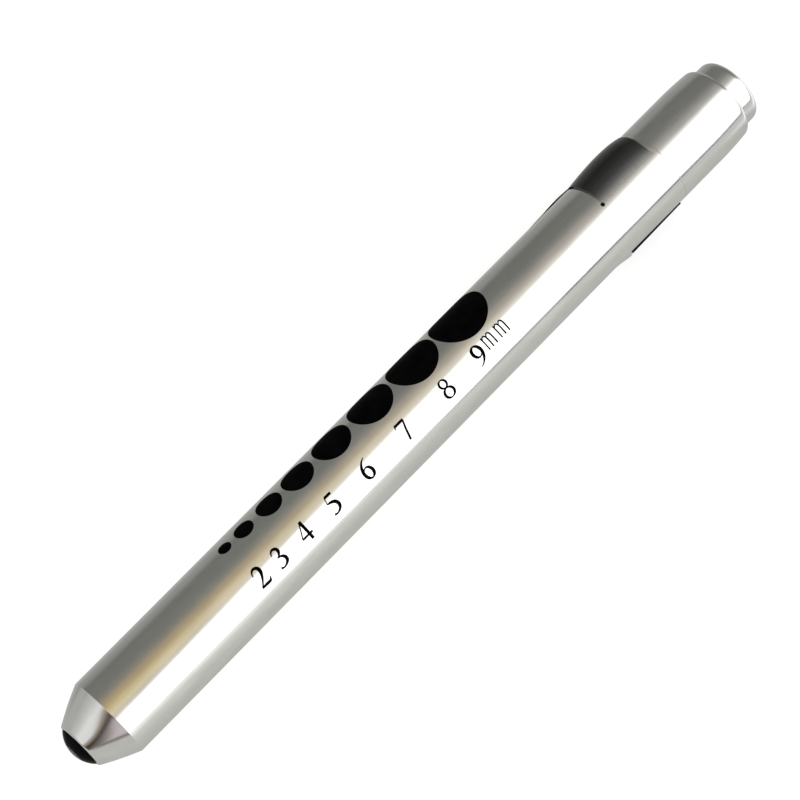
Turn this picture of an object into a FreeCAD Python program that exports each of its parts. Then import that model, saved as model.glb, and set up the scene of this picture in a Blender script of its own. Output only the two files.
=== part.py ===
import FreeCAD, Part
import math
import os

# A pen-shaped diagnostic penlight: an aluminium barrel with a cone nose, a sheet-metal pocket clip
# sprung round it, two AAA cells in line, and a tail sleeve with a push button.
# Every piece is drawn with "station" as its distance from the apex of the nose along the pen's axis
# and "radius" as its distance from that axis. place() then moves it into the part's own frame:
# +X from nose to tail, +Z up, origin under the middle of the pen on the surface it lies on.
# Angles round the pen are in degrees from +Z towards +Y. Lengths are in millimetres.

# ---------------------------------------------------------------- driving dimensions
LENGTH = 127.4              # nose apex to the tail button's end
BODY_R = 6.0                # barrel and tail sleeve
WALL = 0.5                  # barrel wall
AXIS_HEIGHT = 6.526         # pen axis above the surface the pen lies on
AXIS_SIDE = -0.162          # pen axis beside the middle of the part's width

# nose
DOME_R = 4.4                # sphere of the domed tip
RIM_AT = 1.3                # front rim of the cone
RIM_R = 3.1                 # radius at which the rim begins to round over
RIM_ROUND = 0.5
CONE_END = 6.4              # edge between cone and barrel
CONE_END_R = 5.95
CONE_ANGLE = 30.0           # slope of the nose where its rim rounding ends
CONE_BULGE = 0.08           # how far the cone bows out beyond a straight one
MOUTH_R = 3.05              # opening the domed bezel fills
THROAT_R = 3.6
MOUTH_END = 2.6
THROAT_END = 7.6
BEZEL_R = 3.0
BEZEL_FLANGE_R = 3.5
BEZEL_END = 3.6
LAMP_R = 1.35
LAMP_BORE_R = 1.4

# lamp support
HOLDER_NECK_R = 3.5
HOLDER_R = 5.3
HOLDER_END = 9.8
HOLDER_BORE_R = 1.75
LAMP_FLANGE = (5.0, 5.9, 1.7)
LEAD_R = 0.22
LEAD_OFFSET = 0.75
BOARD = (9.85, 10.65, 5.25)
LEAD_END = 10.6
GROUND_RING = (9.9, 10.6, 5.48, 5.27)
CONTACT_DISC = (10.67, 11.07, 2.4)
CONTACT_NUB = (12.0, 1.3)
RESISTOR = (1.6, 0.8, 0.5)  # across, tall, thick
RESISTOR_OUT = 3.5

# AAA cells and their liner
CELL_LENGTH = 44.5
CELL_R = 5.12
CELL_FRONT = 12.05
CELL_GAP = 0.05
NUB_R = 1.9
NUB_LENGTH = 0.95
LINER = (12.6, 102.8, 5.44, 5.27)

# clip
CLIP_AT = 132.0             # direction of the clip round the pen
BAND_SPAN = 257.0           # how far the band wraps
SHEET = 0.33                # thickness of the clip's sheet
BAND_OUTER = ((100.2, 6.13), (102.6, 6.36), (105.6, 6.52), (108.4, 6.43), (110.1, 6.16))
SEAT_R = 5.78               # floor of the shallow seat under the band
SEAT = (99.8, 110.3)
SEAT_MARGIN = 1.5           # degrees beyond the band's free edges
TONGUE_SEAT_FROM = 97.0
TONGUE_TIP = 70.0
TONGUE_INNER = (
    (100.15, 5.80), (99.4, 5.92), (97.6, 6.38), (93.0, 6.86), (86.0, 7.06), (79.0, 6.78),
    (75.0, 6.32), (73.4, 6.22), (71.6, 6.52), (70.0, 7.02),
)
TONGUE_HALF_WIDTHS = ((100.3, 3.0), (98.0, 3.0), (92.0, 2.45), (74.0, 2.0), (69.5, 1.9))
LUG = (96.7, 99.75, 0.4, 1.2)   # from, to, height, width, at the band's second corner
PIT = (100.0, 0.45, 0.3)        # station, radius, depth

# tail
JOINT_AT = 110.8            # where barrel and tail sleeve meet
JOINT_GAP = 0.05
EDGE = (0.25, 0.1)          # shallow chamfer on each side of the joint: length, depth
SLEEVE_END = 124.5
SLEEVE_TAPER = (119.5, 123.5, 5.8)  # from, to, radius at its end
SLEEVE_LIP = (5.25, 0.16)   # radius of the rounded lip's end, how far the rounding bows out
SLEEVE_BORE_R = 5.35
LEDGE = (122.55, 5.08)
BUTTON_R = 5.0
BUTTON_ROUND = 1.3
BUTTON_FLANGE = (121.6, 122.5, 5.25)
BUTTON_HOLLOW = (126.2, 4.2)
BUTTON_STEM_R = 1.5
PLATE = (119.9, 120.3, 4.9)
COLLAR = (105.3, 110.7, 118.3)  # thread start, thread end, collar end
THREAD_PITCH = 1.0
THREAD_R = (5.15, 5.42)
COLLAR_R = 5.32
COLLAR_BORE_R = 4.5
HOUSING_WALL = (110.42, 112.4)
HOUSING_END = 118.2
HOUSING_R = 4.45
HOUSING_BORE_R = 3.4
STEM_BORE_R = 1.0
SEAT_DISC = (109.9, 110.4, 4.3)
STEM = (118.35, 0.9)
# springs: from, to, coil radius at each end, wire radius, turns
BUTTON_SPRING = (112.45, 119.85, 2.3, 2.6, 0.25, 5.5)
BATTERY_SPRING = (101.15, 109.85, 1.9, 3.85, 0.27, 5)

CENTRE = FreeCAD.Vector(0, 0, 0)
AXIS = FreeCAD.Vector(1, 0, 0)
ROUND = FreeCAD.Vector(-1, 0, 0)    # turning about this goes from +Z towards +Y
BEYOND = 1.0                        # how far a cutter reaches past what it cuts


# ---------------------------------------------------------------- helpers
def at(station, radius):
    return FreeCAD.Vector(station, 0, radius)


def outline_face(corners):
    """Face bounded by the corners in turn. A corner of four numbers is reached by an arc, and its
    last two numbers are a point on that arc."""
    edges = []
    last = at(*corners[0][:2])
    for corner in corners[1:] + corners[:1]:
        here = at(*corner[:2])
        if here.distanceToPoint(last) > 1e-7:
            if len(corner) == 4:
                edges.append(Part.Arc(last, at(*corner[2:]), here).toShape())
            else:
                edges.append(Part.LineSegment(last, here).toShape())
        last = here
    return Part.Face(Part.Wire(edges))


def turned(corners):
    """Solid of revolution about the pen's axis."""
    return outline_face(corners).revolve(CENTRE, AXIS, 360)


def ring(start, end, outer, inner=0.0):
    return turned([(start, inner), (start, outer), (end, outer), (end, inner)])


def sector(face, middle, span):
    """The face turned about the pen's axis through span degrees, centred on the angle middle."""
    start = face.copy()
    start.rotate(CENTRE, ROUND, middle - span / 2)
    return start.revolve(CENTRE, ROUND, span)


def ring_sector(start, end, outer, inner, middle, span):
    face = outline_face([(start, inner), (start, outer), (end, outer), (end, inner)])
    return sector(face, middle, span)


def faced(shape, angle):
    """Turns a shape that was drawn on the +Z side of the pen to another side."""
    shape.rotate(CENTRE, ROUND, angle)
    return shape


def sheet_face(points, thickness, outer_given):
    """Section of a bent sheet. The points lie on its outer or its inner face."""
    curve = Part.BSplineCurve()
    curve.interpolate([at(*p) for p in points])
    sign = -1.0 if outer_given else 1.0
    other = []
    steps = 4 * (len(points) - 1)
    for i in range(steps + 1):
        u = curve.FirstParameter + (curve.LastParameter - curve.FirstParameter) * i / steps
        tangent = curve.tangent(u)[0]
        normal = FreeCAD.Vector(-tangent.z, 0, tangent.x)
        if normal.z < 0:
            normal = normal * -1.0
        other.append(curve.value(u) + normal * sign * thickness)
    # both ends of the sheet are cut square to the pen's axis
    other[0].x = points[0][0]
    other[-1].x = points[-1][0]
    offset = Part.BSplineCurve()
    offset.interpolate(other)
    first = Part.LineSegment(curve.StartPoint, offset.StartPoint).toShape()
    last = Part.LineSegment(curve.EndPoint, offset.EndPoint).toShape()
    return Part.Face(Part.Wire([curve.toShape(), last, offset.toShape(), first]))


def coil(start, end, first_r, last_r, wire_r, turns):
    """Compression spring along the pen's axis."""
    height = end - start - 2 * wire_r
    slope = math.degrees(math.atan2(last_r - first_r, height))
    path = Part.Wire(Part.makeHelix(height / turns, height, first_r, slope))
    edge = path.Edges[0]
    begin = edge.valueAt(edge.FirstParameter)
    along = edge.tangentAt(edge.FirstParameter)
    wire = Part.Wire(Part.makeCircle(wire_r, begin, along))
    spring = path.makePipeShell([wire], True, True)
    spring.rotate(CENTRE, FreeCAD.Vector(0, 1, 0), 90)
    spring.translate(FreeCAD.Vector(start + wire_r, 0, 0))
    return spring


def place(shape):
    shape.translate(FreeCAD.Vector(-LENGTH / 2, AXIS_SIDE, AXIS_HEIGHT))
    return shape


# ---------------------------------------------------------------- nose and lamp
def sphere_station(radius):
    return DOME_R - math.sqrt(DOME_R ** 2 - radius ** 2)


def barrel():
    # the front rim rounds over until it meets the bowed cone
    turn = math.radians(90 - CONE_ANGLE)
    rim_middle = (RIM_AT + RIM_ROUND * (1 - math.cos(turn / 2)),
                  RIM_R + RIM_ROUND * math.sin(turn / 2))
    rim_end = (RIM_AT + RIM_ROUND * (1 - math.cos(turn)), RIM_R + RIM_ROUND * math.sin(turn))
    run, rise = CONE_END - rim_end[0], CONE_END_R - rim_end[1]
    chord = math.hypot(run, rise)
    cone_middle = ((CONE_END + rim_end[0]) / 2 - CONE_BULGE * rise / chord,
                   (CONE_END_R + rim_end[1]) / 2 + CONE_BULGE * run / chord)
    end = JOINT_AT - JOINT_GAP
    bore = BODY_R - WALL
    shell = turned([
        (RIM_AT, MOUTH_R), (RIM_AT, RIM_R),
        rim_end + rim_middle, (CONE_END, CONE_END_R) + cone_middle,
        (CONE_END + 0.05, BODY_R), (end - EDGE[0], BODY_R),
        (end, BODY_R - EDGE[1]), (end, bore), (THROAT_END, bore), (THROAT_END, THROAT_R),
        (MOUTH_END, THROAT_R), (MOUTH_END, MOUTH_R),
    ])
    seat_span = BAND_SPAN + 2 * SEAT_MARGIN
    shell = shell.cut(ring_sector(*SEAT, BODY_R + BEYOND, SEAT_R, CLIP_AT, seat_span))
    tongue_span = 2 * math.degrees(math.asin((TONGUE_HALF_WIDTHS[0][1] + 0.4) / BODY_R))
    shell = shell.cut(ring_sector(
        TONGUE_SEAT_FROM, SEAT[0] + 0.01, BODY_R + BEYOND, SEAT_R, CLIP_AT, tongue_span))
    shell = shell.fuse(faced(ramp_lug(), CLIP_AT + BAND_SPAN / 2))
    station, radius, depth = PIT
    for side in (-1, 1):
        pit = Part.makeCylinder(radius, BEYOND + depth, at(station, BODY_R - depth))
        shell = shell.cut(faced(pit, CLIP_AT + side * BAND_SPAN / 2))
    return shell.removeSplitter()


def ramp_lug():
    """Small wedge on the barrel that guides the band's free corner."""
    start, end, height, width = LUG
    foot = BODY_R - 0.2
    face = outline_face([(start, foot), (start, BODY_R - 0.02), (end, BODY_R + height), (end, foot)])
    wedge = face.extrude(FreeCAD.Vector(0, width, 0))
    wedge.translate(FreeCAD.Vector(0, -width / 2, 0))
    return wedge


def lens_bezel():
    dome_mid_r = (LAMP_BORE_R + BEZEL_R) / 2
    return turned([
        (sphere_station(LAMP_BORE_R), LAMP_BORE_R),
        (sphere_station(BEZEL_R), BEZEL_R, sphere_station(dome_mid_r), dome_mid_r),
        (MOUTH_END + 0.02, BEZEL_R), (MOUTH_END + 0.02, BEZEL_FLANGE_R),
        (BEZEL_END, BEZEL_FLANGE_R), (BEZEL_END, LAMP_BORE_R),
    ])


def led_lens():
    flange_from, flange_to, flange_r = LAMP_FLANGE
    return turned([
        (0, 0), (sphere_station(LAMP_R), LAMP_R, sphere_station(LAMP_R / 2), LAMP_R / 2),
        (flange_from, LAMP_R), (flange_from, flange_r), (flange_to, flange_r), (flange_to, 0),
    ])


def lead_pair(start, end, radius):
    pins = []
    for side in (-1, 1):
        foot = FreeCAD.Vector(start, side * LEAD_OFFSET, 0)
        pins.append(Part.makeCylinder(radius, end - start, foot, AXIS))
    return pins


def led_leads():
    return Part.makeCompound(lead_pair(LAMP_FLANGE[1], LEAD_END, LEAD_R))


def led_holder():
    return turned([
        (BEZEL_END + 0.05, HOLDER_BORE_R), (BEZEL_END + 0.05, HOLDER_NECK_R),
        (THROAT_END + 0.05, HOLDER_NECK_R), (THROAT_END + 0.05, HOLDER_R),
        (HOLDER_END, HOLDER_R), (HOLDER_END, HOLDER_BORE_R),
    ])


def lamp_board():
    board = ring(*BOARD)
    for hole in lead_pair(BOARD[0] - BEYOND, BOARD[1] + BEYOND, LEAD_R + 0.06):
        board = board.cut(hole)
    return board


def positive_contact():
    start, end, radius = CONTACT_DISC
    tip, nub_r = CONTACT_NUB
    return turned([(start, 0), (start, radius), (end, radius), (end, nub_r),
                   (tip - 0.3, nub_r), (tip, nub_r - 0.3), (tip, 0)])


def series_resistor():
    across, tall, thick = RESISTOR
    corner = FreeCAD.Vector(BOARD[1] + 0.02, -across / 2, RESISTOR_OUT - tall / 2)
    return Part.makeBox(thick, across, tall, corner)


# ---------------------------------------------------------------- cells
def cell(front):
    """A cell's can with its positive nub, the seal round its negative cap, and the cap."""
    shoulder = front + NUB_LENGTH
    back = front + CELL_LENGTH
    recess, recess_r = back - 0.95, 4.7
    can = turned([
        (front, 0), (front, NUB_R - 0.2), (front + 0.2, NUB_R), (shoulder, NUB_R),
        (shoulder, CELL_R - 0.3), (shoulder + 0.3, CELL_R), (back - 0.25, CELL_R),
        (back - 0.05, CELL_R - 0.2), (back - 0.05, recess_r), (recess, recess_r), (recess, 0),
    ])
    seal = ring(recess + 0.02, back - 0.1, recess_r - 0.02, 4.22)
    cap = ring(recess + 0.02, back, 4.2)
    return {"can": can, "seal": seal, "cap": cap}


# ---------------------------------------------------------------- clip
def clip_band():
    return sector(sheet_face(BAND_OUTER, SHEET, True), CLIP_AT, BAND_SPAN)


def clip_tongue():
    blank = sector(sheet_face(TONGUE_INNER, SHEET, False), 0, 90)
    left = [FreeCAD.Vector(s, -w, 0) for s, w in TONGUE_HALF_WIDTHS]
    right = [FreeCAD.Vector(s, w, 0) for s, w in reversed(TONGUE_HALF_WIDTHS)]
    plan = Part.Face(Part.makePolygon(left + right + left[:1]))
    prism = plan.extrude(FreeCAD.Vector(0, 0, 2 * BODY_R))
    # the tip is rounded in plan
    tip_r = 1.9
    nose = Part.makeCylinder(tip_r, 2 * BODY_R, FreeCAD.Vector(TONGUE_TIP + tip_r, 0, 0))
    rest = Part.makeBox(40, 10, 2 * BODY_R, FreeCAD.Vector(TONGUE_TIP + tip_r, -5, 0))
    return faced(blank.common(prism).common(nose.fuse(rest)), CLIP_AT)


# ---------------------------------------------------------------- tail
def tail_sleeve():
    ledge_from, ledge_r = LEDGE
    taper_from, taper_to, taper_r = SLEEVE_TAPER
    lip_r, bow = SLEEVE_LIP
    run, rise = SLEEVE_END - taper_to, lip_r - taper_r
    chord = math.hypot(run, rise)
    lip_middle = ((taper_to + SLEEVE_END) / 2 - bow * rise / chord, (taper_r + lip_r) / 2 + bow * run / chord)
    return turned([
        (JOINT_AT, SLEEVE_BORE_R), (JOINT_AT, BODY_R - EDGE[1]), (JOINT_AT + EDGE[0], BODY_R),
        (taper_from, BODY_R), (taper_to, taper_r), (SLEEVE_END, lip_r) + lip_middle,
        (SLEEVE_END, ledge_r), (ledge_from, ledge_r), (ledge_from, SLEEVE_BORE_R),
    ])


def threaded_collar():
    start, thread_end, end = COLLAR
    root_r, crest_r = THREAD_R
    corners = [(start, COLLAR_BORE_R), (start, root_r)]
    station = start
    while station + THREAD_PITCH <= thread_end - 0.3:
        corners.append((station + 0.25 * THREAD_PITCH, root_r))
        corners.append((station + 0.5 * THREAD_PITCH, crest_r))
        corners.append((station + 0.65 * THREAD_PITCH, crest_r))
        corners.append((station + 0.9 * THREAD_PITCH, root_r))
        station += THREAD_PITCH
    corners += [(thread_end, root_r), (thread_end, COLLAR_R), (end, COLLAR_R), (end, COLLAR_BORE_R)]
    return turned(corners)


def switch_housing():
    wall_from, wall_to = HOUSING_WALL
    return turned([
        (wall_from, STEM_BORE_R), (wall_from, HOUSING_R), (HOUSING_END, HOUSING_R),
        (HOUSING_END, HOUSING_BORE_R), (wall_to, HOUSING_BORE_R), (wall_to, STEM_BORE_R),
    ])


def spring_seat():
    start, end, radius = SEAT_DISC
    tip, stem_r = STEM
    return turned([(start, 0), (start, radius), (end, radius), (end, stem_r), (tip, stem_r), (tip, 0)])


def tail_button():
    flange_from, flange_to, flange_r = BUTTON_FLANGE
    hollow_to, hollow_r = BUTTON_HOLLOW
    corner = BUTTON_ROUND * (1 - math.sqrt(0.5))
    return turned([
        (PLATE[1], 0), (PLATE[1], BUTTON_STEM_R), (hollow_to, BUTTON_STEM_R), (hollow_to, hollow_r),
        (flange_from, hollow_r), (flange_from, flange_r), (flange_to, flange_r),
        (flange_to, BUTTON_R), (LENGTH - BUTTON_ROUND, BUTTON_R),
        (LENGTH, BUTTON_R - BUTTON_ROUND, LENGTH - corner, BUTTON_R - corner), (LENGTH, 0),
    ])


# ---------------------------------------------------------------- the whole penlight
nodes = {
    "barrel": barrel(),
    "lens_bezel": lens_bezel(),
    "led_lens": led_lens(),
    "led_leads": led_leads(),
    "led_holder": led_holder(),
    "lamp_board": lamp_board(),
    "ground_ring": ring(*GROUND_RING),
    "series_resistor": series_resistor(),
    "positive_contact": positive_contact(),
    "cell_liner": ring(*LINER),
    "clip_band": clip_band(),
    "clip_tongue": clip_tongue(),
    "battery_spring": coil(*BATTERY_SPRING),
    "tail_sleeve": tail_sleeve(),
    "threaded_collar": threaded_collar(),
    "switch_housing": switch_housing(),
    "spring_seat": spring_seat(),
    "button_spring": coil(*BUTTON_SPRING),
    "switch_plate": ring(*PLATE),
    "tail_button": tail_button(),
}
for row, name in enumerate(("front_cell", "rear_cell")):
    pieces = cell(CELL_FRONT + row * (CELL_LENGTH + CELL_GAP))
    nodes.update({f"{name}_{piece}": shape for piece, shape in pieces.items()})

os.makedirs("parts", exist_ok=True)
box = FreeCAD.BoundBox()
for name, shape in nodes.items():
    place(shape)
    box.add(shape.BoundBox)
    shape.exportStep(f"parts/{name}.step")
    state = "valid" if shape.isValid() else "INVALID"
    print(f"{name:18} {state} {len(shape.Solids)} solid(s) {shape.Volume:9.2f} mm3")
print(f"X {box.XMin:.2f} to {box.XMax:.2f}, Y {box.YMin:.2f} to {box.YMax:.2f}, "
      f"Z {box.ZMin:.2f} to {box.ZMax:.2f}")
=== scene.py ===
import math

import bmesh
import bpy
from mathutils import Matrix, Vector


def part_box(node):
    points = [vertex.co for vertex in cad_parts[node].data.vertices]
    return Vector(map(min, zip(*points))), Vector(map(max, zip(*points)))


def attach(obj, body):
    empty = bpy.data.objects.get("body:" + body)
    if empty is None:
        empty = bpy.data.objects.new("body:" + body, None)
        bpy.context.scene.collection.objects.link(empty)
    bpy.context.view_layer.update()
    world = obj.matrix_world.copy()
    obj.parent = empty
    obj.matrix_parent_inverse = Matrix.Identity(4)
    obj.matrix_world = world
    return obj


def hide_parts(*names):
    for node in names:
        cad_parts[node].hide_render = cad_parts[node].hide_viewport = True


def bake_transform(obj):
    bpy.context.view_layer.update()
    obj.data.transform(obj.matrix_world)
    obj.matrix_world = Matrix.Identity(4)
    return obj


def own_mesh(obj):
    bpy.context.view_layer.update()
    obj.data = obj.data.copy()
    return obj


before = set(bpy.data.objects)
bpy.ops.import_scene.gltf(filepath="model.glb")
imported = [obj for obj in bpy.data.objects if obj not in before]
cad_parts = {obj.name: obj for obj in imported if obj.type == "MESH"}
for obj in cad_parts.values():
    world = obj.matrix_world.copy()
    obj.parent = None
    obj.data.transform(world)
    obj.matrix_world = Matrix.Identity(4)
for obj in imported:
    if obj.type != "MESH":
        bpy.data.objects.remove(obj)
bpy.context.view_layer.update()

# A pen-shaped diagnostic penlight lying on a pale floor.
# Pieces are drawn in millimetres by station (distance from the nose's apex along the pen), radius
# (distance from the pen's axis) and angle (degrees round the pen, from +Z towards +Y), as in the
# CAD model, and at() turns that into metres in the CAD frame.

MM = 0.001
NOSE_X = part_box("led_lens")[0].x
SLEEVE_LOW, SLEEVE_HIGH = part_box("tail_sleeve")
AXIS_Y = (SLEEVE_LOW.y + SLEEVE_HIGH.y) / 2
AXIS_Z = (SLEEVE_LOW.z + SLEEVE_HIGH.z) / 2
LENGTH = (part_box("tail_button")[1].x - NOSE_X) / MM

# sizes shared by several pieces
BODY_R = 6.0
BORE_R = 5.5
JOINT_AT = 110.8
JOINT_GAP = 0.02
SEGMENTS = 256
MERGE = 2e-7          # metres within which points are one point
FLAT = 1e-8           # metres below which an edge has no length
HOLD = 0.08           # how far from an edge its holding points lie
LATHE_SHARP = 16.0


# ---------------------------------------------------------------- mesh helpers
def at(station, radius, angle):
    a = math.radians(angle)
    return Vector((
        NOSE_X + station * MM,
        AXIS_Y + radius * math.sin(a) * MM,
        AXIS_Z + radius * math.cos(a) * MM,
    ))


def finish_mesh(name, points, faces, material, sharp=28.0):
    """Mesh object with doubled points merged, normals outwards and edges sharper than sharp kept crisp."""
    mesh = bpy.data.meshes.new(name)
    mesh.from_pydata([tuple(p) for p in points], [], faces)
    shape = bmesh.new()
    shape.from_mesh(mesh)
    bmesh.ops.remove_doubles(shape, verts=shape.verts, dist=MERGE)
    bmesh.ops.dissolve_degenerate(shape, edges=shape.edges, dist=FLAT)
    bmesh.ops.recalc_face_normals(shape, faces=shape.faces)
    limit = math.radians(sharp)
    for face in shape.faces:
        face.smooth = True
    for edge in shape.edges:
        edge.smooth = len(edge.link_faces) == 2 and edge.calc_face_angle(0.0) < limit
    shape.to_mesh(mesh)
    shape.free()
    mesh.materials.append(material)
    piece = bpy.data.objects.new(name, mesh)
    bpy.context.scene.collection.objects.link(piece)
    return piece


def grid_faces(rows, columns, wrap_rows=True, wrap_columns=True):
    faces = []
    for i in range(rows if wrap_rows else rows - 1):
        for j in range(columns if wrap_columns else columns - 1):
            i2, j2 = (i + 1) % rows, (j + 1) % columns
            faces.append((i * columns + j, i * columns + j2, i2 * columns + j2, i2 * columns + j))
    return faces


def held(outline):
    """The closed outline with a point close to both ends of each long side, so that edges shade crisply."""
    points = []
    for (s0, r0), (s1, r1) in zip(outline, outline[1:] + outline[:1]):
        points.append((s0, r0))
        length = math.hypot(s1 - s0, r1 - r0)
        if length > 6 * HOLD:
            for u in (HOLD / length, 1 - HOLD / length):
                points.append((s0 + (s1 - s0) * u, r0 + (r1 - r0) * u))
    return points


def lathe(name, outline, material, segments=SEGMENTS):
    """Closed outline of (station, radius) points turned about the pen's axis."""
    rows = held(outline)
    points = [at(s, r, 360 * j / segments) for s, r in rows for j in range(segments)]
    return finish_mesh(name, points, grid_faces(len(rows), segments), material, LATHE_SHARP)


def arc(centre, radius, start, end, steps=8):
    """Points of an arc in (station, radius); angles in degrees from +station towards +radius."""
    angles = [math.radians(start + (end - start) * i / steps) for i in range(steps + 1)]
    return [(centre[0] + radius * math.cos(a), centre[1] + radius * math.sin(a)) for a in angles]


def spread(start, end, count):
    return [start + (end - start) * i / count for i in range(count + 1)]


def smooth_step(x):
    x = min(max(x, 0.0), 1.0)
    return x * x * (3 - 2 * x)


def through(points, steps, closed=False):
    """Catmull-Rom curve through points of any dimension."""
    count = len(points)

    def point(i):
        if closed:
            return points[i % count]
        return points[min(max(i, 0), count - 1)]

    curve = []
    for i in range(count if closed else count - 1):
        p0, p1, p2, p3 = point(i - 1), point(i), point(i + 1), point(i + 2)
        for k in range(steps):
            t = k / steps
            curve.append(tuple(
                0.5 * (2 * b + (c - a) * t + (2 * a - 5 * b + 4 * c - d) * t * t
                       + (3 * b - a - 3 * c + d) * t ** 3)
                for a, b, c, d in zip(p0, p1, p2, p3)))
    if not closed:
        curve.append(tuple(points[-1]))
    return curve


# ---------------------------------------------------------------- material helpers
class Nodes:
    """A node tree, with short ways to add nodes to it."""

    def __init__(self, tree, coordinates):
        self.tree = tree
        self.coordinates = tree.nodes.new("ShaderNodeTexCoord").outputs[coordinates]

    def node(self, kind, inputs=None, **settings):
        made = self.tree.nodes.new("ShaderNode" + kind)
        for key, value in settings.items():
            setattr(made, key, value)
        for key, value in (inputs or {}).items():
            if isinstance(value, bpy.types.NodeSocket):
                self.tree.links.new(value, made.inputs[key])
            else:
                made.inputs[key].default_value = value
        return made

    def noise(self, scale, detail=3.0, stretch=(1.0, 1.0, 1.0), roughness=0.5):
        """Noise in object space; scale is in features per metre, stretch multiplies each axis."""
        mapping = self.node("Mapping", {"Vector": self.coordinates, "Scale": stretch})
        return self.node("TexNoise", {
            "Vector": mapping.outputs["Vector"], "Scale": scale, "Detail": detail,
            "Roughness": roughness}).outputs["Fac"]

    def remap(self, value, low, high, out_low, out_high, smooth=False):
        kind = "SMOOTHSTEP" if smooth else "LINEAR"
        return self.node("MapRange", {
            "Value": value, "From Min": low, "From Max": high,
            "To Min": out_low, "To Max": out_high}, interpolation_type=kind).outputs["Result"]

    def math(self, operation, a, b=0.0):
        return self.node("Math", {0: a, 1: b}, operation=operation).outputs["Value"]

    def along(self, direction):
        """How far the coordinates reach in a direction."""
        return self.node("VectorMath", {0: self.coordinates, 1: direction},
                         operation="DOT_PRODUCT").outputs["Value"]

    def tint(self, factor, *stops):
        """Colour that runs through stops of (place, colour) as factor grows."""
        ramp = self.node("ValToRGB", {"Fac": factor})
        marks = ramp.color_ramp.elements
        while len(marks) < len(stops):
            marks.new(0.5)
        for mark, (place, colour) in zip(marks, stops):
            mark.position = place
            mark.color = (*colour, 1)
        return ramp.outputs["Color"]

    def mix(self, factor, first, second):
        mixed = self.node("Mix", {0: factor, 6: first, 7: second}, data_type="RGBA")
        return mixed.outputs[2]


class Shader(Nodes):
    """A material's node tree with its Principled shader."""

    def __init__(self, name, **sockets):
        self.material = bpy.data.materials.new(name)
        self.material.use_nodes = True
        super().__init__(self.material.node_tree, "Object")
        self.surface = self.tree.nodes["Principled BSDF"]
        for socket, value in sockets.items():
            self.surface.inputs[socket.replace("_", " ")].default_value = value

    def drive(self, socket, value):
        self.tree.links.new(value, self.surface.inputs[socket])

    def bump(self, height, strength, distance):
        bump = self.node("Bump", {"Height": height, "Strength": strength, "Distance": distance})
        self.drive("Normal", bump.outputs["Normal"])


def metal(name, dark, light, rough, grain, streaks, bump):
    """Machined, drawn or plated metal. rough is the range of roughness, grain the noise scale, and
    streaks how much the grain is stretched along the pen."""
    shader = Shader(name, Metallic=1.0)
    drawn = shader.noise(grain, 4.0, (1.0 / streaks, 1.0, 1.0), 0.6)
    cloud = shader.noise(grain * 0.06, 3.0, (0.35, 1.0, 1.0))
    even = shader.remap(cloud, 0.3, 0.7, 0.0, 1.0)
    shader.drive("Base Color", shader.tint(even, (0.0, dark), (1.0, light)))
    both = shader.math("ADD", shader.math("MULTIPLY", drawn, 0.6), shader.math("MULTIPLY", cloud, 0.4))
    shader.drive("Roughness", shader.remap(both, 0.35, 0.65, rough[0], rough[1]))
    shader.bump(drawn, bump, 0.00001)
    return shader


def plastic(name, dark, light, rough, grain, bump, **sockets):
    """Moulded plastic, paper and coatings with fine grain and slow colour drift."""
    shader = Shader(name, **sockets)
    fine = shader.noise(grain, 4.0)
    cloud = shader.noise(grain * 0.05, 2.0)
    even = shader.remap(cloud, 0.3, 0.7, 0.0, 1.0)
    shader.drive("Base Color", shader.tint(even, (0.0, dark), (1.0, light)))
    shader.drive("Roughness", shader.remap(fine, 0.3, 0.7, rough[0], rough[1]))
    shader.bump(fine, bump, 0.00001)
    return shader


# ---------------------------------------------------------------- materials
ALUMINIUM = metal("polished_aluminium", (0.86, 0.86, 0.85), (0.93, 0.93, 0.92), (0.10, 0.15), 9000, 40, 0.012)
TAIL_METAL = metal("tail_aluminium", (0.84, 0.84, 0.84), (0.91, 0.91, 0.91), (0.12, 0.17), 9000, 30, 0.012)
BUTTON_METAL = metal("button_aluminium", (0.82, 0.82, 0.82), (0.90, 0.90, 0.90), (0.15, 0.22), 9000, 20, 0.02)
BLACK = plastic("black_plastic", (0.001, 0.001, 0.0015), (0.003, 0.003, 0.0035), (0.10, 0.18), 4000, 0.03,
                IOR=1.08)
HOLDER_BLACK = plastic("holder_black", (0.020, 0.020, 0.021), (0.035, 0.035, 0.036), (0.42, 0.55), 5000, 0.10)
LENS = plastic("clear_lens", (0.44, 0.46, 0.50), (0.53, 0.55, 0.58), (0.02, 0.05), 2500, 0.02,
               Transmission_Weight=0.92, IOR=1.30)
PHOSPHOR = plastic("lamp_phosphor", (0.78, 0.62, 0.10), (0.90, 0.78, 0.20), (0.5, 0.7), 6000, 0.2)
INK = plastic("printed_ink", (0.0008, 0.0008, 0.0008), (0.002, 0.002, 0.0022), (0.35, 0.50), 9000, 0.03,
              IOR=1.05)
TINNED = metal("tinned_metal", (0.62, 0.61, 0.58), (0.74, 0.73, 0.70), (0.16, 0.28), 6000, 6, 0.08)
BRASS = metal("brass_contact", (0.74, 0.54, 0.22), (0.86, 0.68, 0.34), (0.18, 0.30), 7000, 8, 0.08)
BOARD_GREEN = plastic("board_laminate", (0.03, 0.17, 0.07), (0.06, 0.26, 0.11), (0.30, 0.45), 3500, 0.10)
RESISTOR_BLACK = plastic("resistor_body", (0.02, 0.02, 0.02), (0.05, 0.05, 0.05), (0.45, 0.60), 5000, 0.15)
PAPER = plastic("liner_paper", (0.66, 0.58, 0.43), (0.78, 0.71, 0.57), (0.75, 0.92), 3000, 0.30)
JACKET = plastic("cell_jacket", (0.03, 0.06, 0.24), (0.06, 0.10, 0.34), (0.16, 0.26), 2500, 0.04)
SEAL = plastic("cell_seal", (0.70, 0.70, 0.66), (0.82, 0.82, 0.78), (0.45, 0.60), 3500, 0.10)
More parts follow.
